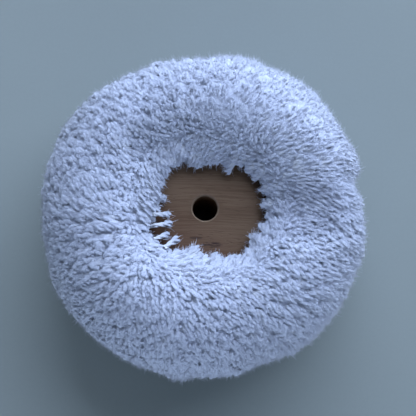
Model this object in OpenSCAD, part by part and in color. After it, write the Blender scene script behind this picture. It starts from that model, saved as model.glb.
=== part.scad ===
// Yarn polishing wheel: a turned hardwood hub with four rows of blind holes round its rim.
// Each hole holds one tuft of cotton yarn, folded over a wire anchor that is driven into the wood.
// The wheel's axis is Z, and the origin is the middle of the spindle bore.

/* [Hub] */
// Diameter of the hub at its rim
hub_d = 42; // [41:0.5:44]
// Width of the hub between its two faces
hub_w = 26; // [25.5:0.25:27]
// Diameter of the flat part of each face, which a flange clamps against
face_d = 33.6; // [32:0.4:34]
// Diameter of the spindle bore
bore_d = 8.2; // [6:0.1:12]
// Chamfer at each end of the bore
bore_chamfer = 0.5; // [0.3:0.1:1]

/* [Tufts] */
// Tufts in each of the four rows
tufts_per_row = 14; // [10:1:14]
// Distance between neighbouring rows along the axis
row_pitch = 5.9; // [5.7:0.1:6]
// Diameter of the drilled tuft holes
hole_d = 5; // [4:0.1:5]
// Depth of the drilled tuft holes
hole_depth = 6.3; // [5:0.1:6.5]
// Tilt of the outer rows' holes towards the nearer face, in degrees
outer_tilt = 12; // [8:1:14]
// Tilt of the middle rows' holes towards the nearer face, in degrees
inner_tilt = 4; // [0:1:5]

/* [Yarn pile] */
// Diameter over the yarn
pile_d = 108; // [100:1:112]
// Width over the yarn
pile_w = 50; // [46:1:54]
// Squareness of the pile's section: 1 is an ellipse, and less is squarer
fullness = 0.85; // [0.75:0.05:1]

/* [Anchors] */
// Diameter of the anchor wire
wire_d = 0.8; // [0.6:0.1:1]
// Radius of the anchor's round crown, to the middle of the wire
crown_r = 1.8; // [1.5:0.1:1.8]
// Length of each anchor leg that is driven into the wood
leg_in_wood = 4.2; // [3:0.2:5]

/* [Hidden] */
$fn = 96;
ROWS = ["front", "front_mid", "back_mid", "back"];
FRONT_ROWS = [0, 1];
BACK_ROWS = [2, 3];
function two_digits(n) = str(n < 10 ? "0" : "", n);
function tuft_name(row, i) = str(ROWS[row], "_tuft_", two_digits(i + 1));

wood = [0.56, 0.43, 0.33];
cotton = [0.93, 0.94, 0.97];
steel = [0.62, 0.62, 0.64];

hub_r = hub_d / 2;
shoulder_r = (hub_d - face_d) / 2;
fit_gap = 0.05;             // between a tuft's root and its hole
leg_gap = 0.01;             // between an anchor's leg and the wood round it
crown_lift = 0.4;           // from the hole's floor to where the anchor's crown starts
leg_length = crown_lift + leg_in_wood;

pitch_angle = 360 / tufts_per_row;
root_band = 2 * row_pitch;  // half the width of rim that the four rows share
cell_u = 0.25;              // half of one row's share of the pile, where the pile runs from -1 to 1
cell_v = pitch_angle / 2;   // half of one tuft's share of the turn
cell_fill = 0.975;          // share of its cell that a tuft fills, which keeps neighbours apart

pile_centre_r = 34.4;       // radius at which the pile is widest
pile_rise = pile_d / 2 - pile_centre_r;
lip_angle = 150;            // the pile wraps this far round its section, from the rim to its inner lip
splay_max = 55;             // direction in which the outermost yarn leaves the rim
splay_arm = 11;             // how far it keeps that direction

ring_sides = 12;
grown_by = 0.35;            // share of the yarn's length by which a tuft fills its cell
RING_T = [0, 0.12, 0.3, 0.5, 0.72, 0.93, 1, 1];
RING_SIZE = [1, 1, 1, 1, 1, 1, 0.8, 0.42];
root_top = 1;               // the round root ends this far below the rim
root_tuck = 2;              // and the flared head starts this far below it

function signed_power(x, p) = sign(x) * pow(abs(x), p);
function smooth(x) = let (c = min(max(x, 0), 1)) c * c * (3 - 2 * c);

// A row's place across the pile, from -0.75 at the back to 0.75 at the front.
function row_u(row) = 0.75 - 0.5 * row;
function row_z(row) = row_u(row) * root_band;
function row_tilt(row) = sign(row_u(row)) * (abs(row_u(row)) > 0.5 ? outer_tilt : inner_tilt);
// Neighbouring rows are staggered by half a pitch.
function tuft_angle(row, i) = (i + (row % 2) / 2) * pitch_angle;

// [radius, height] on the pile's outside, where u runs from the back lip at -1 to the front lip at 1.
function pile_edge(u) = [
    pile_centre_r + pile_rise * signed_power(cos(u * lip_angle), fullness),
    pile_w / 2 * signed_power(sin(u * lip_angle), fullness)
];

// [radius, height] of the yarn that ends at u, a share t of the way from the rim to its tip.
function yarn_line(u, t) = let (
    root = [hub_r, u * root_band],
    bend = root + splay_arm * [cos(u * splay_max), sin(u * splay_max)]
) pow(1 - t, 2) * root + 2 * t * (1 - t) * bend + t * t * pile_edge(u);

function pile_point(u, v, t) = let (p = yarn_line(u, t)) [p[0] * cos(v), p[0] * sin(v), p[1]];

// A point of a tuft's section, which grows from the round root to the tuft's cell of the pile.
function head_point(row, v, t, size, turn) = let (
    root_r = hole_d / 2 - fit_gap,
    round_u = root_r * cos(turn) / root_band,
    round_v = root_r * sin(turn) / hub_r * 180 / PI,
    full_u = cell_u * cell_fill * signed_power(cos(turn), 0.5),
    full_v = cell_v * cell_fill * signed_power(sin(turn), 0.5),
    grown = smooth(t / grown_by)
) pile_point(
    row_u(row) + size * (round_u + (full_u - round_u) * grown),
    v + size * (round_v + (full_v - round_v) * grown),
    t
);

// The head's lowest ring is a circle inside the hole, square to the hole's own axis.
function tucked_point(row, v, turn) = let (
    tilt = row_tilt(row),
    r = hole_d / 2 - 4 * fit_gap,
    out = hub_r - root_tuck * cos(tilt) - r * cos(turn) * sin(tilt),
    side = r * sin(turn),
    up = row_z(row) - root_tuck * sin(tilt) + r * cos(turn) * cos(tilt)
) [out * cos(v) - side * sin(v), out * sin(v) + side * cos(v), up];

// Stands things on a hole's axis: Z runs out along the hole, with its origin at the rim,
// and X lies in the plane of the wheel's axis.
module at_hole(row, i) {
    rotate([0, 0, tuft_angle(row, i)])
        translate([hub_r, 0, row_z(row)])
            rotate([0, 90 - row_tilt(row), 0])
                children();
}

module hub_body() {
    rotate_extrude()
        polygon(concat(
            [[0, -hub_w / 2]],
            [for (a = [-90:7.5:0]) shoulder(a, -1)],
            [for (a = [0:7.5:90]) shoulder(a, 1)],
            [[0, hub_w / 2]]
        ));
}

function shoulder(a, end) = [
    face_d / 2 + shoulder_r * cos(a),
    end * (hub_w / 2 - shoulder_r) + shoulder_r * sin(a)
];

module bore() {
    cylinder(d = bore_d, h = hub_w + 2, center = true);
    for (end = [-1, 1])
        translate([0, 0, end * (hub_w / 2 - bore_chamfer / 2 + fit_gap)])
            cylinder(
                r1 = bore_d / 2 + (end < 0 ? bore_chamfer + fit_gap : -fit_gap),
                r2 = bore_d / 2 + (end > 0 ? bore_chamfer + fit_gap : -fit_gap),
                h = bore_chamfer + 2 * fit_gap,
                center = true
            );
}

module tuft_hole() {
    translate([0, 0, -hole_depth])
        cylinder(d = hole_d, h = hole_depth + 2, $fn = 48);
}

// Z is 0 where the crown starts, and the legs run down from there.
module anchor_legs(d) {
    for (side = [-1, 1])
        translate([side * crown_r, 0, -leg_length])
            cylinder(d = d, h = leg_length, $fn = 24);
}

module anchor() {
    anchor_legs(wire_d);
    rotate([90, 0, 0])
        rotate_extrude(angle = 180, $fn = 48)
            translate([crown_r, 0])
                circle(d = wire_d, $fn = 24);
}

module at_hole_floor() {
    translate([0, 0, crown_lift - hole_depth])
        children();
}

module hub() {
    color(wood)
        difference() {
            hub_body();
            bore();
            for (row = [0:3])
                for (i = [0:tufts_per_row - 1])
                    at_hole(row, i) {
                        tuft_hole();
                        at_hole_floor()
                            anchor_legs(wire_d + 2 * leg_gap);
                    }
        }
}

module anchors(rows) {
    color(steel)
        for (row = rows)
            for (i = [0:tufts_per_row - 1])
                at_hole(row, i)
                    at_hole_floor()
                        anchor();
}

// The round part of a tuft inside its hole. The folded yarn straddles the anchor in the slot.
module tuft_root(row, i) {
    slot_top = crown_lift + crown_r + wire_d / 2 + 2 * fit_gap;
    slot_w = wire_d + 4 * fit_gap;
    at_hole(row, i)
        translate([0, 0, -hole_depth])
            difference() {
                translate([0, 0, 2 * fit_gap])
                    cylinder(d = hole_d - 2 * fit_gap, h = hole_depth - root_top - 2 * fit_gap, $fn = 48);
                translate([-hole_d, -slot_w / 2, -1])
                    cube([2 * hole_d, slot_w, slot_top + 1]);
            }
}

// The flared part of a tuft, from inside its hole to the outside of the pile.
module tuft_head(row, i) {
    v = tuft_angle(row, i);
    turns = [for (k = [0:ring_sides - 1]) k * 360 / ring_sides];
    rings = concat(
        [[for (turn = turns) tucked_point(row, v, turn)]],
        [for (n = [0:len(RING_T) - 1]) [for (turn = turns) head_point(row, v, RING_T[n], RING_SIZE[n], turn)]]
    );
    tip = pile_point(row_u(row), v, 1);
    last = len(rings) - 1;
    tip_index = len(rings) * ring_sides;
    polyhedron(
        points = concat([for (ring = rings) each ring], [tip]),
        faces = concat(
            [[for (k = [0:ring_sides - 1]) ring_sides - 1 - k]],
            [for (n = [0:last - 1]) for (k = [0:ring_sides - 1]) each side_faces(n, k)],
            [for (k = [0:ring_sides - 1]) [last * ring_sides + k, last * ring_sides + next(k), tip_index]]
        )
    );
}

function next(k) = (k + 1) % ring_sides;
function side_faces(n, k) = let (
    a = n * ring_sides + k,
    b = n * ring_sides + next(k)
) [[a, b, a + ring_sides], [b, b + ring_sides, a + ring_sides]];

module tuft(row, i) {
    color(cotton)
        union() {
            tuft_root(row, i);
            tuft_head(row, i);
        }
}

hub();
anchors(FRONT_ROWS);  // front_anchors
anchors(BACK_ROWS);  // back_anchors
for (row = [0:3])
    for (i = [0:tufts_per_row - 1])
        tuft(row, i);
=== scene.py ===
"""The looks of a yarn polishing wheel: a turned wooden hub with tufts of cotton yarn round its rim.

Each yarn rises from its tuft's hole and fans out to the outside of the pile, on the same map as the
tuft solids of the CAD model. Near its tip it leans over, the way the pile was last brushed.
Lengths are in millimetres until they go into a mesh or an object.
"""
import math

import bmesh
import bpy
import numpy as np
from mathutils import Matrix, Vector


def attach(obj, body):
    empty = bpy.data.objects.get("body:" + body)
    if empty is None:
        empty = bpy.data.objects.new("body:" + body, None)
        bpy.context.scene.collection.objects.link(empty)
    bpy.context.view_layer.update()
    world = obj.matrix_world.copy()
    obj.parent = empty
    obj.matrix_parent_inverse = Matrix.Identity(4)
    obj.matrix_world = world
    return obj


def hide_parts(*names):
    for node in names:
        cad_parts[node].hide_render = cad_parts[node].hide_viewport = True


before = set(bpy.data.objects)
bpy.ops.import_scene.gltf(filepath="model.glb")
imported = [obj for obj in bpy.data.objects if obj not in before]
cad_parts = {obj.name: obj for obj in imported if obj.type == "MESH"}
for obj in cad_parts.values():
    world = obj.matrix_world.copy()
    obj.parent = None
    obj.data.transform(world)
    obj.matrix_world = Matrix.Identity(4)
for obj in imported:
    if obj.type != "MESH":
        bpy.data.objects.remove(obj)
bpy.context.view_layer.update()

MM = 0.001
ROWS = ("front", "front_mid", "back_mid", "back")
TUFTS_PER_ROW = 14
TUFT_PITCH = 2 * math.pi / TUFTS_PER_ROW

# The wheel, as in the CAD model
HUB_R = 21.0
HUB_HALF_W = 13.0
ROW_PITCH = 5.9
ROOT_BAND = 2 * ROW_PITCH
HOLE_DEPTH = 6.3
OUTER_TILT = math.radians(12)
INNER_TILT = math.radians(4)
PILE_CENTRE_R = 34.4
PILE_RISE = 54 - PILE_CENTRE_R
PILE_HALF_W = 25.0
FULLNESS = 0.85
LIP_ANGLE = math.radians(150)
SPLAY_MAX = math.radians(55)
SPLAY_ARM = 11.0
CELL_U = 0.25             # half of a row's share of the pile, which runs from -1 to 1
GROWN_BY = 0.35           # share of its length by which a tuft has its full spread

# The yarn
YARN_ENDS = 8400
PLIES = 3
PLY_R = 0.45
PLY_OFF = 0.41            # from the middle of the yarn to the middle of a ply
YARN_R = PLY_R + PLY_OFF
FLARE = 7.5               # the last of a yarn, where it swells towards its cut end
SLIM_FLARE = 4.5          # the same, where a yarn lies by itself over the hub
FLARE_SPREAD = 0.75       # how much further apart the plies are at the cut end
FRAYED_SPREAD = 0.8       # and how much more where the yarn is frayed
FLARE_SWELL = 0.5         # how much thicker a ply is at the cut end
HEAD_R = 1.6 * YARN_R     # room for a flared end over the wood and over the floor
SLIMMER = 0.12            # by which the yarns over the hub are slimmer than the rest
PLUMPER = 0.20            # by which the yarns at the lower left are plumper
SIZE_UNEVEN = 0.08
PLY_SHORT = 0.5           # how much shorter one ply of a yarn may be than another
FRAYED_SHORT = 0.7        # and how much more where the yarn is frayed
ROOT_SHARE = 0.5          # of its size, where the yarns are squeezed into a hole
PLY_SIDES = 5
TWIST_PITCH = 7.0
FIBRES = 14               # loose fibres on each yarn
FIBRE_R = 0.07
FIBRE_SIDES = 3
FIBRE_ROOTS = (1.0, 3.0)  # how far below the tip they leave the yarn
FIBRE_OUT = 1.35          # how far from the yarn's middle they start, in YARN_R
FIBRE_SPREAD = 0.8
FIBRE_CURL = 0.45
FIBRE_PAST = (-0.3, 0.4)  # how far past the tip they end
ROOT_R = 2.3              # the yarns fill this much of a hole
ROOT_FILL_UP = 0.9        # share of it that they fill across the wheel
ROOT_GAP = 0.6            # between the yarns and the floor of the hole
SLOT_HALF = 0.6           # the yarns stand this far to each side of the anchor
PATH_STEPS = 25

# How the pile lies
LEAN = 8.0                # how far a tip is brushed over, at least
COMBED = 11.0             # how much further it is where the pile was combed flat
LEAN_UNEVEN = 0.6
LEAN_WAVES = 0.2          # share by which it rises and falls from place to place
LIP_LEAN = 0.35           # share of it by which the tips at the lips lean in
BENDS_FROM = 0.25         # share of the yarn's length from which it bends
LEAN_POWER = 2.2          # how late along the yarn it bends
WAY_UNEVEN = 7            # how far single tips point off their neighbours' way, in degrees
WAY_WANDERS = 14          # and how far that way wanders from place to place
BACK_TURNED = 137         # the back is brushed as the front is, turned by this many degrees
TIP_UNEVEN = 0.25         # how far single tips stand above or below the rest
TIP_WAVES = 0.4           # and how far the rest rise and fall from place to place
LIP_UNEVEN = 1.0
LIP_MOST = 1.3            # the furthest that a tip reaches past the lip, apart from strays
LIP_TIGHTER = 0.35        # how much closer together the tips are at the lips
BACK_LIP = 1.5            # how far the back lip reaches past the even one
LAST_U = 0.985            # the closest to a lip's end that a stray or a core comes
WAVER = 0.30              # how much a yarn wanders
WAVER_TURNS = (0.8, 2.1)  # in how many waves along it
CORE_DEPTH = 1.15         # how far below the tips the pile is a solid mass of fluff
SOFT_SHADE = 0.75         # share of the pile's own slope in the way a yarn is shaded
FIELD_WAVES = 24          # in each smooth random field


def smooth(x):
    """From 0 to 1, level at both ends, as x goes from 0 to 1."""
    c = np.clip(x, 0, 1)
    return c * c * (3 - 2 * c)


def signed_power(x, p):
    return np.sign(x) * np.abs(x) ** p


def off_angle(degrees, centre):
    """How far past centre an angle is, from -180 to 180 degrees."""
    return (degrees - centre + 180) % 360 - 180


def bump_at(degrees, centre, half_width):
    """1 at centre, falling smoothly to 0 at half_width from it."""
    return smooth(1 - np.abs(off_angle(degrees, centre)) / half_width)


def wave_field(points, size, seed):
    """A smooth random field, mostly from -1 to 1, with features about size mm across."""
    field_rng = np.random.default_rng(seed)
    total = np.zeros(len(points))
    for _ in range(FIELD_WAVES):
        direction = field_rng.normal(size=3)
        direction *= 2 * math.pi / (size * field_rng.uniform(1.4, 3.2)) / np.linalg.norm(direction)
        total += np.sin(points @ direction + field_rng.uniform(0, 2 * math.pi))
    return total * 0.7 / math.sqrt(FIELD_WAVES / 2)


# ---- the pile's even shape, as in the CAD model --------------------------------------------------

def row_u(row):
    """The middle of a row's share of the pile."""
    return 1 - (2 * row + 1) * CELL_U


def row_tilt(row):
    return np.where(np.abs(row_u(row)) > 0.5, OUTER_TILT, INNER_TILT) * np.sign(row_u(row))


def tuft_angle(row, number):
    return (number + (row % 2) / 2) * TUFT_PITCH


def pile_edge(u):
    """(radius, height) on the outside, where u goes from the back lip at -1 to the front at 1."""
    turn = u * LIP_ANGLE
    radius = PILE_CENTRE_R + PILE_RISE * signed_power(np.cos(turn), FULLNESS)
    return radius, PILE_HALF_W * signed_power(np.sin(turn), FULLNESS)


def yarn_line(u, t):
    """(radius, height) of the yarn that ends at u, a share t of the way from the rim."""
    edge_r, edge_z = pile_edge(u)
    root_z = u * ROOT_BAND
    bend_r = HUB_R + SPLAY_ARM * np.cos(u * SPLAY_MAX)
    bend_z = root_z + SPLAY_ARM * np.sin(u * SPLAY_MAX)
    a, b, c = (1 - t) ** 2, 2 * t * (1 - t), t * t
    return a * HUB_R + b * bend_r + c * edge_r, a * root_z + b * bend_z + c * edge_z


# ---- how this pile differs from the even one -----------------------------------------------------

# Lobes of a line round the wheel: direction, half width (degrees) and size
OUTLINE_LOBES = (
    (20, 9, 0.045), (10, 8, -0.06), (350, 12, 0.03), (95, 22, -0.035), (140, 28, 0.03),
    (195, 20, -0.03), (260, 9, 0.05), (291, 12, -0.05),
)
OUTLINE_WAVES = ((2, 57, 0.010), (3, 307, 0.022), (4, 322, 0.012))
LIP_LOBES = (
    (60, 12, 2.5), (95, 60, 6.2), (166, 42, 5.0), (213, 20, -1.2), (255, 25, 5.2), (280, 25, 2.0),
    (326, 9, 2.0),
)
FRONT_LIP = -1.8          # where it has no lobe
# Single yarns that lie over the hub's face: direction, and how far from the middle they end
STRAYS = ((193, 11.7), (206, 12.6), (217, 15.0), (230, 13.4))
# Where the pile was combed flat: direction, half width (degrees) and how much
COMBED_FLAT = ((330, 120, 1.0), (205, 40, 0.7))
# Where the front's yarns part (degrees)
PARTINGS = (65, 213)
# The way they point on each side: the direction in its middle, the way there, and how far from
# there (degrees) it has turned by how much
LEFT_SIDE = (148, 183, 77, 74)
RIGHT_SIDE = (328, 372, 96, 70)
# Where it is turned further: direction, half width and turn (degrees)
LEFT_TURNS = ((135, 25, 12), (206, 28, 52))
RIGHT_TURNS = ((48, 40, 38), (250, 28, 18))
# Where the front's yarns are frayed, and where they are plump: direction and half width (degrees)
FRAYED = (58, 90)
PLUMP = (222, 110)
# The yarns over the hub, within this radius, are slim, except under the top lip
SLIM_R = 17
TOP_LIP = (115, 85)

# Dips and swellings of the front: place, size across and height, all in mm
RELIEF = (
    ((32.0, -2.5, 24.0), 10.5, -5.0),
    ((-20.0, 16.0, 23.0), 7.0, -3.0),
    ((-7.0, 20.0, 21.0), 6.0, -2.2),
    ((-20.0, -33.0, 23.0), 9.0, 1.5),
    ((30.0, 22.0, 23.0), 8.0, 1.2),
)


def relief(points):
    """Height of the dips and swellings at points on the pile, and its slope."""
    height = np.zeros(len(points))
    slope = np.zeros((len(points), 3))
    for place, size, most in RELIEF:
        away = points - np.array(place)
        here = most * np.exp(-(away ** 2).sum(axis=1) / size ** 2)
        height += here
        slope -= 2 * away * (here / size ** 2)[:, None]
    return height, slope


def waves_of_tips(tips):
    """How far the tips stand above the even outside, apart from single yarns."""
    return TIP_WAVES * wave_field(tips, 10, 7) + relief(tips)[0]


def lobes(degrees, shapes):
    return sum(size * bump_at(degrees, centre, width) for centre, width, size in shapes)


def outline(degrees):
    """How far the pile reaches in each direction, as a share of its even reach past the hub."""
    waves = sum(size * np.cos(np.radians(n * (degrees - peak))) for n, peak, size in OUTLINE_WAVES)
    return 1 + lobes(degrees, OUTLINE_LOBES) + waves


def lip_reach(degrees):
    """How much further than the even lip the front lip reaches in over the hub's face."""
    return FRONT_LIP + lobes(degrees, LIP_LOBES)


def side_way(degrees, side, turns):
    centre, way, half_width, turned = side
    return way + turned * (off_angle(degrees, centre) / half_width) ** 3 + lobes(degrees, turns)


def brushed_way(degrees):
    """The way the tips on the front point, seen from the front.

    They were swept to the left above and to the right below, and part at each side in between.
    """
    at_left = (degrees > PARTINGS[0]) & (degrees < PARTINGS[1])
    left_way = side_way(degrees, LEFT_SIDE, LEFT_TURNS)
    return np.where(at_left, left_way, side_way(degrees, RIGHT_SIDE, RIGHT_TURNS))


def lean_of(u, v, edge_r, tips, rng):
    """How far each tip is brushed outwards and round the wheel."""
    count = len(u)
    degrees = np.degrees(v) % 360
    back_way = brushed_way((degrees + BACK_TURNED) % 360)
    way = np.where(u > 0, brushed_way(degrees), back_way)
    way = way + WAY_WANDERS * wave_field(tips, 9, 5) + rng.normal(scale=WAY_UNEVEN, size=count)
    turn = np.radians(way - degrees)
    combed = [most * bump_at(degrees, centre, width) for centre, width, most in COMBED_FLAT]
    size = LEAN + COMBED * np.maximum(*combed)
    size = size * (1 + LEAN_WAVES * wave_field(tips, 12, 6))
    size = size + rng.normal(scale=LEAN_UNEVEN, size=count)
    at_lip = smooth((np.abs(u) - 0.66) / 0.2)
    side = smooth(np.abs(u) / 0.3)
    outwards = size * ((1 - at_lip) * side * np.cos(turn) - LIP_LEAN * at_lip)
    return outwards, size * (1 - 0.8 * at_lip) * (0.4 + 0.6 * side) * np.sin(turn)


# ---- the yarns' paths ----------------------------------------------------------------------------

# Steps of a sequence that fills a square evenly, and how far each point is shifted from it
EVEN_STEPS = (0.7548776662466927, 0.5698402909980532)
EVEN_JITTER = 0.28


def even_tips(count, rng):
    """(u, v) of count tips, spread evenly over the outside of the pile."""
    u = np.linspace(-1, 1, 2001)
    edge_r, edge_z = pile_edge(u)
    lip_extra = 1 + LIP_TIGHTER * smooth((np.abs(u) - 0.7) / 0.2)
    step = np.hypot(np.diff(edge_r), np.diff(edge_z)) * (edge_r * lip_extra)[1:]
    share = np.concatenate([[0], np.cumsum(step)]) / step.sum()
    k = np.arange(count) + 0.5
    a, b = [
        (k * stride + rng.normal(scale=EVEN_JITTER / math.sqrt(count), size=count)) % 1
        for stride in EVEN_STEPS
    ]
    return np.interp(a, share, u), b * 2 * math.pi


def square_to_disc(x, y):
    """A point of the square from -1 to 1, moved to its place in the disc of radius 1."""
    return x * np.sqrt(1 - y * y / 2), y * np.sqrt(1 - x * x / 2)


def hole_floor(row, angle, x, y):
    """Where the yarns stand on a hole's floor, to either side of its anchor."""
    tilt = row_tilt(row)
    side = np.sign(y) * (SLOT_HALF + np.abs(y) * (ROOT_R - SLOT_HALF))
    up = x * ROOT_R * ROOT_FILL_UP
    depth = HOLE_DEPTH - ROOT_GAP
    out = HUB_R - depth * np.cos(tilt) - up * np.sin(tilt)
    height = row_u(row) * ROOT_BAND - depth * np.sin(tilt) + up * np.cos(tilt)
    return np.stack([
        out * np.cos(angle) - side * np.sin(angle),
        out * np.sin(angle) + side * np.cos(angle),
        height,
    ], axis=1)


def shaped(u, v, t, longer, extra):
    """Points of the pile, with its uneven outside and its lips, clear of the hub.

    longer is how far past the even outside they are, and extra how far past the lip.
    """
    edge_r, edge_z = pile_edge(u)
    r, z = yarn_line(u, t)
    degrees = np.degrees(v) % 360
    wide = 1 + (outline(degrees) - 1) * smooth((r - HUB_R) / PILE_RISE)
    r = HUB_R + (r - HUB_R) * wide + longer * (edge_r - PILE_CENTRE_R) / PILE_RISE
    z = z + longer * edge_z / PILE_HALF_W

    # the lips reach in over the hub's faces, and keep clear of the wood
    at_lip = smooth((np.abs(u) - 0.6) / 0.4) * t ** 1.5
    r = r - at_lip * (np.where(u > 0, lip_reach(degrees), BACK_LIP) + extra)
    clear = HUB_HALF_W + HEAD_R
    over_face = smooth((HUB_R + 2 - r) / 3) * smooth((t - 0.3) / 0.3)
    z = z + np.sign(u) * np.maximum(clear - np.abs(z), 0) * over_face
    return np.stack([r * np.cos(v), r * np.sin(v), z], axis=2)


def stray_tips():
    """(u, v, extra reach) of the single yarns that lie over the hub's face."""
    degrees, ends = np.array(STRAYS).T
    u = np.full(len(ends), LAST_U)
    return u, np.radians(degrees), pile_edge(u)[0] - lip_reach(degrees) - ends


def all_yarns():
    """Row, number in its row and path (steps, 3) of every yarn."""
    rng = np.random.default_rng(20)
    count = int(YARN_ENDS * (1))
    tip_u, tip_v = even_tips(count, rng)
    stray_u, stray_v, stray_reach = stray_tips()
    tip_u = np.concatenate([tip_u, stray_u])
    tip_v = np.concatenate([tip_v, stray_v])
    uneven = np.minimum(rng.normal(scale=LIP_UNEVEN, size=count), LIP_MOST)
    extra = np.concatenate([uneven, stray_reach])[:, None]
    count = len(tip_u)
    edge_r, edge_z = pile_edge(tip_u)
    tips = np.stack([edge_r * np.cos(tip_v), edge_r * np.sin(tip_v), edge_z], axis=1)

    # the yarn's place before it is brushed over says which tuft it is in
    outwards, around = lean_of(tip_u, tip_v, edge_r, tips, rng)
    section = 0.5 * (PILE_RISE + PILE_HALF_W) * LIP_ANGLE      # about as long as u from 0 to 1
    lean_u = -np.sign(tip_u) * outwards / section
    lean_v = around / edge_r
    base_u = np.clip(tip_u - lean_u, -0.995, 0.995)
    base_v = tip_v - lean_v
    row = np.floor((1 - base_u) / (2 * CELL_U)).astype(int)
    number = np.round(base_v / TUFT_PITCH - (row % 2) / 2).astype(int)
    angle = tuft_angle(row, number)
    in_cell_u = (base_u - row_u(row)) / CELL_U
    in_cell_v = (base_v - angle) / (TUFT_PITCH / 2)
    disc_u, disc_v = square_to_disc(in_cell_u, in_cell_v)

    t = np.linspace(0, 1, PATH_STEPS)[None, :]
    grown = smooth(t / GROWN_BY)
    root_u = (disc_u * ROOT_R / ROOT_BAND)[:, None]
    root_v = (disc_v * ROOT_R / HUB_R)[:, None]
    spread_u = (in_cell_u * CELL_U)[:, None]
    spread_v = (in_cell_v * TUFT_PITCH / 2)[:, None]
    bent = np.clip((t - BENDS_FROM) / (1 - BENDS_FROM), 0, 1) ** LEAN_POWER
    u = row_u(row)[:, None] + root_u + (spread_u - root_u) * grown
    v = angle[:, None] + root_v + (spread_v - root_v) * grown
    v = v + bent * (tip_v - base_v)[:, None]

    longer = rng.normal(scale=TIP_UNEVEN, size=count) + waves_of_tips(tips)
    longer = longer[:, None] * t ** 2
    points = shaped(u + bent * (tip_u - base_u)[:, None], v, t, longer, extra)
    for turns in WAVER_TURNS:
        swing = rng.normal(scale=WAVER / math.sqrt(turns), size=(count, 1, 3))
        phase = rng.uniform(0, 2 * math.pi, size=(count, 1))
        points += swing * (t ** 2 * np.sin(2 * math.pi * turns * t + phase))[:, :, None]
    points[:, :, 2] = np.maximum(points[:, :, 2], HEAD_R - PILE_HALF_W)
    floor = hole_floor(row, angle, disc_u, disc_v)
    return row, number % TUFTS_PER_ROW, np.concatenate([floor[:, None, :], points], axis=1)


# ---- from paths to meshes ------------------------------------------------------------------------

# Rings stand close together near the tip, where the yarn shows: distances from the tip, in mm
TIP_RINGS = np.array([0, 0.14, 0.45, 1.1, 2.1, 3.5, 5.4])
TIP_DOME = np.array([0.42, 0.8, 0.97])
DEEP_RINGS = np.array([0.5, 1.0])             # shares of what is left of the yarn
ASLANT = np.array([0.31, 0.17, 0.94])         # hardly any yarn runs this way


def along(points, from_tip):
    """Points at the given distances from each path's tip."""
    steps = np.linalg.norm(np.diff(points, axis=1), axis=2)
    gone = np.concatenate([np.zeros((len(points), 1)), np.cumsum(steps, axis=1)], axis=1)
    placed = np.empty(from_tip.shape + (3,))
    for n, line in enumerate(points):
        for axis in range(3):
            placed[n, :, axis] = np.interp(gone[n, -1] - from_tip[n], gone[n], line[:, axis])
    return placed


def unit(vectors):
    return vectors / (np.linalg.norm(vectors, axis=-1, keepdims=True) + 1e-12)


def frayed(tips):
    """How far a yarn's end has come apart into its plies, from 0 to 1."""
    degrees = np.degrees(np.arctan2(tips[:, 1], tips[:, 0]))
    worn = bump_at(degrees, *FRAYED) * (tips[:, 2] > 0)
    worn = worn * smooth((np.hypot(tips[:, 0], tips[:, 1]) - 22) / 6)
    return np.clip(0.9 * worn + 0.25 * wave_field(tips, 9, 8), 0, 1)[:, None]


def yarn_frame(points, from_tip):
    """Middle line at those distances from the tip, and two directions across it."""
    middle = along(points, from_tip)
    tangent = unit(np.gradient(middle, axis=1))
    across = unit(np.cross(tangent, ASLANT))
    return middle, across, np.cross(tangent, across)


def round_tubes(middle, across, beside, radius, sides, wound, lengthways, depth):
    """Round closed tubes about their middle lines; see tube_faces for the last three."""
    turn = 2 * math.pi * np.arange(sides) / sides
    spoke = (
        across[:, :, None, :] * np.cos(turn)[None, None, :, None]
        + beside[:, :, None, :] * np.sin(turn)[None, None, :, None]
    )
    verts = middle[:, :, None, :] + spoke * radius[:, :, None, None]
    return tube_faces(verts, wound, lengthways, depth)


def ply_tubes(points, rng):
    """The plies of every yarn, as closed tubes that wind round each other."""
    count = len(points)
    length = np.linalg.norm(np.diff(points, axis=1), axis=2).sum(axis=1)[:, None]
    apart = frayed(points[:, -1])
    tip_r = np.hypot(points[:, -1, 0], points[:, -1, 1])
    tip_degrees = np.degrees(np.arctan2(points[:, -1, 1], points[:, -1, 0]))
    slim = (smooth((SLIM_R - tip_r) / 2) * (1 - bump_at(tip_degrees, *TOP_LIP)))[:, None]
    plumper = bump_at(tip_degrees, *PLUMP)[:, None]
    size = 1 - SLIMMER * slim + PLUMPER * plumper * (1 - slim)
    size = size * (1 + rng.normal(scale=SIZE_UNEVEN, size=(count, 1)))
    start = rng.uniform(0, 2 * math.pi, size=(count, 1))
    parts = []
    for ply in range(PLIES):
        short = rng.uniform(0, PLY_SHORT, size=(count, 1))
        short = short + FRAYED_SHORT * apart * rng.uniform(size=(count, 1))
        near = short + TIP_RINGS
        deep = near[:, -1:] + (length - near[:, -1:]) * DEEP_RINGS
        from_tip = np.concatenate([near, deep], axis=1)
        middle, across, beside = yarn_frame(points, from_tip)
        plump = size * (ROOT_SHARE + (1 - ROOT_SHARE) * smooth((1 - from_tip / length) / 0.6))
        flare = smooth(1 - from_tip / (FLARE + slim * (SLIM_FLARE - FLARE)))
        turn = start + 2 * math.pi * (ply / PLIES + from_tip / TWIST_PITCH)
        off = PLY_OFF * plump * (1 + flare * (FLARE_SPREAD + FRAYED_SPREAD * apart))
        middle = middle + across * (off * np.cos(turn))[:, :, None]
        middle = middle + beside * (off * np.sin(turn))[:, :, None]
        radius = PLY_R * plump * (1 + FLARE_SWELL * flare * (1 - apart))
        radius[:, :len(TIP_DOME)] *= TIP_DOME
        own_place = rng.uniform(0, 1000, size=(count, 1))
        wound = from_tip / TWIST_PITCH + own_place
        parts.append(round_tubes(
            middle, across, beside, radius, PLY_SIDES, wound, from_tip + own_place, from_tip
        ))
    return parts


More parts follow.
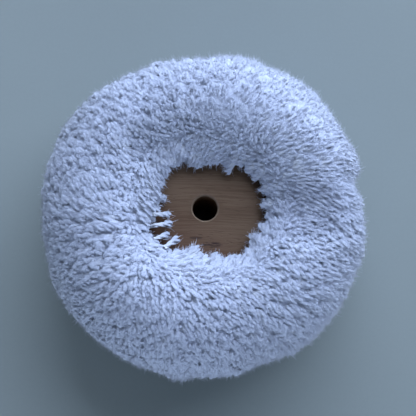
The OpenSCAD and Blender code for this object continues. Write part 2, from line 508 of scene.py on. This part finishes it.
def fibre_tubes(points, rng):
    """Fine loose fibres that leave the sides of the yarns and pass their tips."""
    lines = np.repeat(points, FIBRES, axis=0)
    count = len(lines)
    root = rng.uniform(*FIBRE_ROOTS, size=(count, 1))
    from_tip = root * np.array([1, 0.45, 0])
    middle, across, beside = yarn_frame(lines, from_tip)
    turn = rng.uniform(0, 2 * math.pi, size=(count, 1))
    side = across * np.cos(turn)[:, :, None] + beside * np.sin(turn)[:, :, None]
    gone = np.array([0, 0.5, 1.0])
    out = FIBRE_OUT * YARN_R + gone * rng.uniform(0, FIBRE_SPREAD, size=(count, 1))
    curl = rng.normal(scale=FIBRE_CURL, size=(count, 1, 3)) * (gone ** 2)[None, :, None]
    past_tip = unit(middle[:, -1] - middle[:, 0])[:, None, :]
    past_tip = past_tip * (gone ** 2 * rng.uniform(*FIBRE_PAST, size=(count, 1)))[:, :, None]
    radius = FIBRE_R * (1 - 0.6 * gone) * np.ones((count, 1))
    middle = middle + side * out[:, :, None] + curl + past_tip
    none = from_tip * 0
    return round_tubes(middle, across, beside, radius, FIBRE_SIDES, none, from_tip, none)


def tube_faces(verts, wound, lengthways, depth):
    """Closed tubes through verts (tubes, rings, sides, 3).

    Gives the vertices, the quads, the end caps, the quads' UVs and the vertices' depths. A UV is in
    turns round the tube and mm along it. wound, lengthways and depth say how far each ring is
    wound round, where it is along, and how far below the yarn's tip.
    """
    count, rings, sides = verts.shape[:3]
    base = np.arange(count)[:, None, None] * rings * sides
    ring = np.arange(rings - 1)[None, :, None] * sides
    here = np.arange(sides)[None, None, :]
    a, b = base + ring + here, base + ring + (here + 1) % sides
    quads = np.stack([a, b, b + sides, a + sides], axis=3).reshape(-1, 4)
    first = base[:, :, 0] + np.arange(sides)[::-1]
    last = base[:, :, 0] + (rings - 1) * sides + np.arange(sides)
    around = np.broadcast_to(here / sides, a.shape)
    wide = 1 / sides
    ways = []
    for step, ring_shift in ((0, 0), (wide, 0), (wide, 1), (0, 1)):
        past = slice(ring_shift, rings - 1 + ring_shift)
        ways.append(np.stack([
            around + step - wound[:, past, None],
            np.broadcast_to(lengthways[:, past, None], a.shape),
        ], axis=3))
    uvs = np.stack(ways, axis=3).reshape(-1, 2)
    depths = np.repeat(depth.ravel(), sides)
    return verts.reshape(-1, 3), quads, np.concatenate([first, last]), uvs, depths


# Each ring of a core: its share of the way out from the rim, and its size beside the tuft's own.
# The last six close it.
CORE_SHARES = np.array([0.05, 0.2, 0.35, 0.55, 0.75, 0.9] + 7 * [1.0])
CORE_FILL = np.array([0.98, 0.98, 1.0, 1.02, 1.04, 1.04, 1.04, 0.9, 0.76, 0.62, 0.48, 0.34, 0.2])
CORE_SIDES = 40
CORE_LUMPS = 0.3          # how uneven its outside is
WORN_FILL = 0.45          # how much closer to the tips it is where the yarn is frayed
CORE_SHADE_DEPTH = 1.6    # it is coloured as a yarn is this far below its tip, painted light included


def tuft_core(row, number):
    """The close mass of fluff inside a tuft, under its tips, as one closed tube."""
    angle = tuft_angle(row, number)
    turn = -2 * math.pi * np.arange(CORE_SIDES) / CORE_SIDES
    square_u = signed_power(np.cos(turn), 0.35)
    square_v = signed_power(np.sin(turn), 0.35)
    disc_u, disc_v = np.cos(turn), np.sin(turn)
    t = CORE_SHARES[:, None]
    grown = smooth(t / GROWN_BY)
    root_u = ROOT_R * disc_u / ROOT_BAND
    root_v = ROOT_R * disc_v / HUB_R
    fill = CORE_FILL[:, None]
    u = row_u(row) + fill * (root_u + (square_u * CELL_U - root_u) * grown)
    v = angle + fill * (root_v + (square_v * TUFT_PITCH / 2 - root_v) * grown)
    u = np.clip(u, -LAST_U, LAST_U)
    edge_r, edge_z = pile_edge(u)
    outside = np.stack([edge_r * np.cos(v), edge_r * np.sin(v), edge_z], axis=2).reshape(-1, 3)
    lumps = np.random.default_rng(100 * row + number).normal(scale=CORE_LUMPS, size=u.shape)
    lower = waves_of_tips(outside).reshape(u.shape) + lumps - CORE_DEPTH
    lower += WORN_FILL * frayed(outside).reshape(u.shape)
    return shaped(u, v, t, lower * smooth((t - 0.4) / 0.6), 0)


def pile_normals(verts):
    """Which way the pile's even outside faces, beside each vertex."""
    r = np.hypot(verts[:, 0], verts[:, 1])
    up = verts[:, 2] / PILE_HALF_W ** 2
    out = (r - PILE_CENTRE_R) / PILE_RISE ** 2
    even = unit(np.stack([verts[:, 0] / r * out, verts[:, 1] / r * out, up], axis=1))
    slope = relief(verts)[1]
    along_pile = slope - even * (slope * even).sum(axis=1)[:, None]
    return unit(even - along_pile)


def mesh_object(name, parts, material):
    """One mesh of several sets of tubes, shaded partly as the pile's outside."""
    shift = np.cumsum([0] + [len(part[0]) for part in parts])
    verts = np.concatenate([part[0] for part in parts])
    faces = [part[k] + shift[n] for k in (1, 2) for n, part in enumerate(parts)]
    uvs = np.concatenate([part[3] for part in parts])
    mesh = bpy.data.meshes.new(name)
    corners = np.concatenate([face.ravel() for face in faces])
    sizes = np.concatenate([np.full(len(face), face.shape[1]) for face in faces])
    mesh.vertices.add(len(verts))
    mesh.vertices.foreach_set("co", (verts * MM).ravel())
    mesh.loops.add(len(corners))
    mesh.loops.foreach_set("vertex_index", corners.astype(np.int32))
    mesh.polygons.add(len(sizes))
    mesh.polygons.foreach_set("loop_start", (np.cumsum(sizes) - sizes).astype(np.int32))
    mesh.polygons.foreach_set("use_smooth", np.ones(len(sizes), dtype=bool))
    mesh.update(calc_edges=True)
    corner_uvs = np.zeros((len(corners), 2))
    corner_uvs[:len(uvs)] = uvs
    mesh.uv_layers.new(name="along_yarn").uv.foreach_set("vector", corner_uvs.ravel())
    depth = np.concatenate([part[4] for part in parts])
    mesh.attributes.new("depth", "FLOAT", "POINT").data.foreach_set("value", depth)
    own = np.empty(3 * len(verts))
    mesh.vertex_normals.foreach_get("vector", own)
    soft = unit((1 - SOFT_SHADE) * own.reshape(-1, 3) + SOFT_SHADE * pile_normals(verts))
    mesh.normals_split_custom_set_from_vertices(soft)
    mesh.materials.append(material)
    piece = bpy.data.objects.new(name, mesh)
    bpy.context.scene.collection.objects.link(piece)
    return piece


def make_tufts(material):
    yarn_row, yarn_number, paths = all_yarns()
    for row in range(len(ROWS)):
        for number in range(TUFTS_PER_ROW):
            mine = paths[(yarn_row == row) & (yarn_number == number)]
            rng = np.random.default_rng(1000 * (row + 1) + number)
            name = f"{ROWS[row]}_yarn_{number + 1:02d}"
            parts = ply_tubes(mine, rng) + [fibre_tubes(mine, rng)]
            core = tuft_core(row, number)[None]
            still = np.zeros(core.shape[:2])
            core = tube_faces(core, still, still, still + CORE_SHADE_DEPTH)
            piece = mesh_object(name, parts + [core], material)
            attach(piece, "root")
            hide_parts(f"{ROWS[row]}_tuft_{number + 1:02d}")


# ---- materials -----------------------------------------------------------------------------------

YARN_TINT = (0.77, 0.83, 0.98)
YARN_SHADE = (0.62, 0.67, 0.82)
# yarn below the tips: partly cleaner, partly painted light against the shade deep in the pile
YARN_CLEAN_AND_LIT = (0.88, 0.92, 1.0)
# darker yarn in the dip at the right of the front: painted shade
PAINTED_DIP_SHADE = (0.50, 0.54, 0.66)
PAINTED_DIP_SHADE_AT = (-0.0325, 0.0015, -0.0220)     # minus its place, as for the marks on the wood
FIBRES_ROUND = 6          # fibre streaks round a ply

WOOD_DARK = (0.120, 0.066, 0.033)
WOOD_LIGHT = (0.190, 0.113, 0.062)
WOOD_RED = (0.140, 0.060, 0.030)
# pale ring at the bore's edge: painted highlight of its chamfer
WOOD_EDGE_HIGHLIGHT = (0.26, 0.18, 0.115)
TORN_AT = (-0.0022, 0.0120, -0.0130)
STREAK_AT = (0.0030, 0.0098, -0.0130)
WOOD_TORN = (0.045, 0.018, 0.010)

WIRE_DARK = (0.46, 0.45, 0.44)
WIRE_LIGHT = (0.62, 0.61, 0.60)

FLOOR_TINT = (0.322, 0.362, 0.338)
FLOOR_SHADE = (0.310, 0.349, 0.326)


def new_material(name):
    material = bpy.data.materials.new(name)
    material.use_nodes = True
    nodes = material.node_tree.nodes
    return material, nodes, material.node_tree.links, nodes["Principled BSDF"]


# The next helpers each add a node and give its output socket

def mapped(nodes, links, vector, scale, shift=(0, 0, 0)):
    """The vector, moved by shift and then scaled."""
    move = nodes.new("ShaderNodeVectorMath")
    move.operation = "ADD"
    links.new(vector, move.inputs[0])
    move.inputs[1].default_value = shift
    size = nodes.new("ShaderNodeVectorMath")
    size.operation = "MULTIPLY"
    links.new(move.outputs["Vector"], size.inputs[0])
    size.inputs[1].default_value = scale
    return size.outputs["Vector"]


def length_of(nodes, links, vector):
    node = nodes.new("ShaderNodeVectorMath")
    node.operation = "LENGTH"
    links.new(vector, node.inputs[0])
    return node.outputs["Value"]


def noise(nodes, links, vector, detail=2.0, distortion=0.0):
    """Noise with features about 1 unit across."""
    texture = nodes.new("ShaderNodeTexNoise")
    texture.inputs["Scale"].default_value = 1
    texture.inputs["Detail"].default_value = detail
    texture.inputs["Distortion"].default_value = distortion
    links.new(vector, texture.inputs["Vector"])
    return texture.outputs["Fac"]


def step(nodes, links, value, low, high, start=0.0, end=1.0):
    """Goes smoothly from start to end while value goes from low to high."""
    node = nodes.new("ShaderNodeMapRange")
    node.interpolation_type = "SMOOTHSTEP"
    links.new(value, node.inputs["Value"])
    node.inputs["From Min"].default_value = low
    node.inputs["From Max"].default_value = high
    node.inputs["To Min"].default_value = start
    node.inputs["To Max"].default_value = end
    return node.outputs["Result"]


def math_node(nodes, links, operation, a, b):
    node = nodes.new("ShaderNodeMath")
    node.operation = operation
    for value, socket in ((a, node.inputs[0]), (b, node.inputs[1])):
        if isinstance(value, float):
            socket.default_value = value
        else:
            links.new(value, socket)
    return node.outputs["Value"]


def blend(nodes, links, amount, first, second):
    """From first to second as amount goes from 0 to 1; each is a colour or a socket."""
    node = nodes.new("ShaderNodeMix")
    node.data_type = "RGBA"
    links.new(amount, node.inputs["Factor"])
    for value, socket in ((first, node.inputs[6]), (second, node.inputs[7])):
        if isinstance(value, tuple):
            socket.default_value = (*value, 1)
        else:
            links.new(value, socket)
    return node.outputs[2]


def bump(nodes, links, height, strength, distance, shader):
    node = nodes.new("ShaderNodeBump")
    node.inputs["Strength"].default_value = strength
    node.inputs["Distance"].default_value = distance
    links.new(height, node.inputs["Height"])
    links.new(node.outputs["Normal"], shader.inputs["Normal"])


def place_of(nodes):
    """Position in the CAD frame, in metres."""
    return nodes.new("ShaderNodeTexCoord").outputs["Object"]


def yarn_material():
    material, nodes, links, shader = new_material("cotton_yarn")
    shader.inputs["Roughness"].default_value = 0.9
    shader.inputs["Sheen Weight"].default_value = 0.6
    shader.inputs["Sheen Roughness"].default_value = 0.5
    shader.inputs["Specular IOR Level"].default_value = 0.1
    # fibres run along each ply and wind with it
    along_yarn = nodes.new("ShaderNodeUVMap")
    along_yarn.uv_map = "along_yarn"
    streaks = mapped(nodes, links, along_yarn.outputs["UV"], (FIBRES_ROUND, 0.3, 1))
    fibres = noise(nodes, links, streaks, 3)
    tint = blend(nodes, links, step(nodes, links, fibres, 0.30, 0.60), YARN_SHADE, YARN_TINT)
    # the tips are greyed by use, and below them the yarn is painted lighter: painted light that
    # lifts the shade deep between the yarns
    depth = nodes.new("ShaderNodeAttribute")
    depth.attribute_name = "depth"
    clean_and_lit = step(nodes, links, depth.outputs["Fac"], 0.3, 5.0)
    tint = blend(nodes, links, clean_and_lit, tint, YARN_CLEAN_AND_LIT)
    # painted shade: the yarn is darker in a patchy spot in the dip at the right of the front
    place = place_of(nodes)
    patch = length_of(nodes, links, mapped(nodes, links, place, (60, 75, 50), PAINTED_DIP_SHADE_AT))
    patchy = noise(nodes, links, mapped(nodes, links, place, (500, 500, 500)), 3)
    dip_shade = math_node(
        nodes, links, "MULTIPLY",
        step(nodes, links, patch, 0.35, 1.0, 0.85, 0.0), step(nodes, links, patchy, 0.2, 0.55),
    )
    links.new(blend(nodes, links, dip_shade, tint, PAINTED_DIP_SHADE), shader.inputs["Base Color"])
    lint = noise(nodes, links, mapped(nodes, links, place, (1600, 1600, 1600)), 2)
    bump(nodes, links, math_node(nodes, links, "ADD", fibres, lint), 0.6, 0.0003, shader)
    return material


def wood_material():
    material, nodes, links, shader = new_material("hub_wood")
    shader.inputs["Specular IOR Level"].default_value = 0.35
    place = place_of(nodes)
    # the grain runs along X, a little bent
    bend = noise(nodes, links, mapped(nodes, links, place, (25, 60, 60)), 1)
    bend = math_node(nodes, links, "SUBTRACT", bend, 0.5)
    bend = math_node(nodes, links, "MULTIPLY", bend, 0.006)
    lift = nodes.new("ShaderNodeCombineXYZ")
    links.new(bend, lift.inputs["Y"])
    bent = nodes.new("ShaderNodeVectorMath")
    links.new(place, bent.inputs[0])
    links.new(lift.outputs["Vector"], bent.inputs[1])
    bent = bent.outputs["Vector"]
    fine = noise(nodes, links, mapped(nodes, links, bent, (60, 1700, 1700)), 3)
    broad = noise(nodes, links, mapped(nodes, links, bent, (20, 120, 120), (0.4, 0.1, 0)), 2)
    pores = noise(nodes, links, mapped(nodes, links, bent, (330, 3400, 3400), (0.2, 0, 0.3)), 1)
    pores = step(nodes, links, pores, 0.60, 0.70)
    growth = math_node(
        nodes, links, "ADD",
        math_node(nodes, links, "MULTIPLY", fine, 0.45),
        math_node(nodes, links, "MULTIPLY", broad, 0.55),
    )
    colour = blend(nodes, links, step(nodes, links, growth, 0.35, 0.66), WOOD_DARK, WOOD_LIGHT)
    # redder low on the face and to the left
    split = nodes.new("ShaderNodeSeparateXYZ")
    links.new(place, split.inputs["Vector"])
    across = math_node(nodes, links, "MULTIPLY", split.outputs["X"], 0.5)
    across = math_node(nodes, links, "ADD", across, split.outputs["Y"])
    across = math_node(
        nodes, links, "ADD", across, math_node(nodes, links, "MULTIPLY", broad, 0.012)
    )
    red = step(nodes, links, across, -0.010, 0.008, 0.55, 0.0)
    colour = blend(nodes, links, red, colour, WOOD_RED)
    colour = blend(nodes, links, math_node(nodes, links, "MULTIPLY", pores, 0.8), colour, WOOD_DARK)
    # a torn patch beside a pin knot, and a dark streak next to it
    torn = length_of(nodes, links, mapped(nodes, links, place, (260, 800, 40), TORN_AT))
    cracks = noise(nodes, links, mapped(nodes, links, bent, (200, 3600, 400), (0, 0.5, 0)), 1, 1.5)
    cracks = math_node(
        nodes, links, "MULTIPLY",
        step(nodes, links, cracks, 0.47, 0.53), step(nodes, links, torn, 0.7, 1.0, 1.0, 0.0),
    )
    streak = length_of(nodes, links, mapped(nodes, links, place, (330, 1900, 40), STREAK_AT))
    streak = math_node(nodes, links, "ADD", streak, math_node(nodes, links, "MULTIPLY", fine, 0.8))
    streak = step(nodes, links, streak, 0.9, 1.3, 0.7, 0.0)
    marks = math_node(nodes, links, "MAXIMUM", cracks, streak)
    colour = blend(nodes, links, marks, colour, WOOD_TORN)
    # painted highlight: a pale ring round the bore's edge, where its chamfer catches the light
    radius = length_of(nodes, links, mapped(nodes, links, place, (1, 1, 0)))
    up = math_node(nodes, links, "ABSOLUTE", split.outputs["Z"], 0.0)
    edge = math_node(
        nodes, links, "MULTIPLY",
        step(nodes, links, radius, 0.0044, 0.0047, 1.0, 0.0),
        step(nodes, links, up, 0.0122, 0.0126),
    )
    colour = blend(nodes, links, edge, colour, WOOD_EDGE_HIGHLIGHT)
    links.new(colour, shader.inputs["Base Color"])
    links.new(step(nodes, links, growth, 0.35, 0.65, 0.72, 0.52), shader.inputs["Roughness"])
    hollows = math_node(nodes, links, "MAXIMUM", pores, marks)
    height = math_node(nodes, links, "SUBTRACT", fine, hollows)
    bump(nodes, links, height, 0.35, 0.0002, shader)
    return material


def wire_material():
    """Drawn steel wire with fine scratches."""
    material, nodes, links, shader = new_material("anchor_wire")
    shader.inputs["Metallic"].default_value = 1
    place = place_of(nodes)
    drawn = noise(nodes, links, mapped(nodes, links, place, (6000, 6000, 900)), 3)
    grey = blend(nodes, links, step(nodes, links, drawn, 0.3, 0.7), WIRE_DARK, WIRE_LIGHT)
    links.new(grey, shader.inputs["Base Color"])
    links.new(step(nodes, links, drawn, 0.3, 0.7, 0.45, 0.28), shader.inputs["Roughness"])
    bump(nodes, links, drawn, 0.2, 0.00002, shader)
    return material


def floor_material():
    material, nodes, links, shader = new_material("table")
    place = place_of(nodes)
    cloudy = noise(nodes, links, mapped(nodes, links, place, (9, 9, 9)), 4)
    paint = blend(nodes, links, step(nodes, links, cloudy, 0.3, 0.7), FLOOR_SHADE, FLOOR_TINT)
    links.new(paint, shader.inputs["Base Color"])
    grainy = noise(nodes, links, mapped(nodes, links, place, (900, 900, 900)), 2)
    links.new(step(nodes, links, grainy, 0.3, 0.7, 0.75, 0.9), shader.inputs["Roughness"])
    bump(nodes, links, grainy, 0.1, 0.0001, shader)
    return material


# ---- the scene -----------------------------------------------------------------------------------

# Lengths are in metres here
FLOOR_Z = -0.0256
FLOOR_R = 1.3
FLOOR_BEND = 0.7
WALL_HEIGHT = 2.6
FLOOR_SIDES = 96
LIGHT_SIZE = 1.6
CAMERA_AWAY = 0.36        # from the point that it is aimed at
CAMERA_AIM = Vector((0.0014, 0.0026, 0))
VIEW_HALF_W = 0.0701      # at that distance

DAYLIGHT = (0.62, 0.74, 1.0)
WORLD_STRENGTH = 0.05
# A large window beyond the top of the wheel, and weaker light from the rest of the room
LIGHTS = (
    ("window", (0.37, 0.74, 0.45), 21.5),
    ("window_left", (-0.25, 0.75, 0.42), 4.0),
    ("room", (0, -0.95, -0.02), 10.0),
    ("room_left", (-0.5, -0.8, 0.05), 1.2),
)
# These face away from the wheel, and light the floor and the wall beyond the others
FAR_LIGHTS = (
    ("beyond_window", (0.2, 0.85, 0.47), 14),
    ("beyond_room", (0, -1.05, 0.3), 8),
)

scene = bpy.context.scene


def set_material(node, material):
    node.data.materials.clear()
    node.data.materials.append(material)


def studio_floor():
    """A round floor that curves up into a wall, well outside the lights."""
    bend = np.radians(np.linspace(0, 90, 9))
    rings = [(FLOOR_R + FLOOR_BEND * math.sin(a), FLOOR_BEND * (1 - math.cos(a))) for a in bend]
    rings.append((FLOOR_R + FLOOR_BEND, WALL_HEIGHT))
    shape = bmesh.new()
    middle = shape.verts.new((0, 0, FLOOR_Z))
    last = None
    for r, z in rings:
        turns = [2 * math.pi * k / FLOOR_SIDES for k in range(FLOOR_SIDES)]
        ring = [shape.verts.new((r * math.cos(a), r * math.sin(a), FLOOR_Z + z)) for a in turns]
        for k, corner in enumerate(ring):
            after = (k + 1) % FLOOR_SIDES
            if last is None:
                shape.faces.new((middle, corner, ring[after]))
            else:
                shape.faces.new((last[k], corner, ring[after], last[after]))
        last = ring
    mesh = bpy.data.meshes.new("floor")
    shape.to_mesh(mesh)
    shape.free()
    mesh.shade_smooth()
    mesh.materials.append(floor_material())
    floor = bpy.data.objects.new("floor", mesh)
    scene.collection.objects.link(floor)


def area_light(name, place, target, watts):
    light = bpy.data.lights.new(name, "AREA")
    light.shape = "DISK"
    light.size = LIGHT_SIZE
    light.energy = watts
    light.color = DAYLIGHT
    lamp = bpy.data.objects.new(name, light)
    lamp.location = place
    lamp.rotation_euler = (Vector(target) - Vector(place)).to_track_quat("-Z", "Y").to_euler()
    scene.collection.objects.link(lamp)


def studio_lights():
    for name, place, watts in LIGHTS:
        area_light(name, place, (0, 0, 0), watts)
    for name, place, watts in FAR_LIGHTS:
        area_light(name, place, Vector(place) * 2, watts)
    world = bpy.data.worlds.new("studio")
    scene.world = world
    world.use_nodes = True
    background = world.node_tree.nodes["Background"]
    background.inputs["Color"].default_value = (*DAYLIGHT, 1)
    background.inputs["Strength"].default_value = WORLD_STRENGTH


def photo_camera():
    """The photo's camera: nearly above the wheel, tilted towards its lower edge."""
    tilt = math.radians(11)
    lean_left = math.radians(2)
    data = bpy.data.cameras.new("camera")
    data.angle = 2 * math.atan(VIEW_HALF_W / CAMERA_AWAY)
    camera = bpy.data.objects.new("camera", data)
    back = Vector((-math.sin(lean_left), -math.sin(tilt), math.cos(tilt))).normalized()
    right = Vector((0, 1, 0)).cross(back).normalized()
    turned = Matrix((right, back.cross(right), back)).transposed()
    camera.matrix_world = Matrix.Translation(CAMERA_AIM + CAMERA_AWAY * back) @ turned.to_4x4()
    scene.collection.objects.link(camera)
    scene.camera = camera
    scene.view_settings.view_transform = "Standard"


make_tufts(yarn_material())
wood = wood_material()
wire = wire_material()
for name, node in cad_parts.items():
    if name == "hub":
        set_material(node, wood)
    elif name.endswith("anchors"):
        set_material(node, wire)
studio_floor()
studio_lights()
photo_camera()
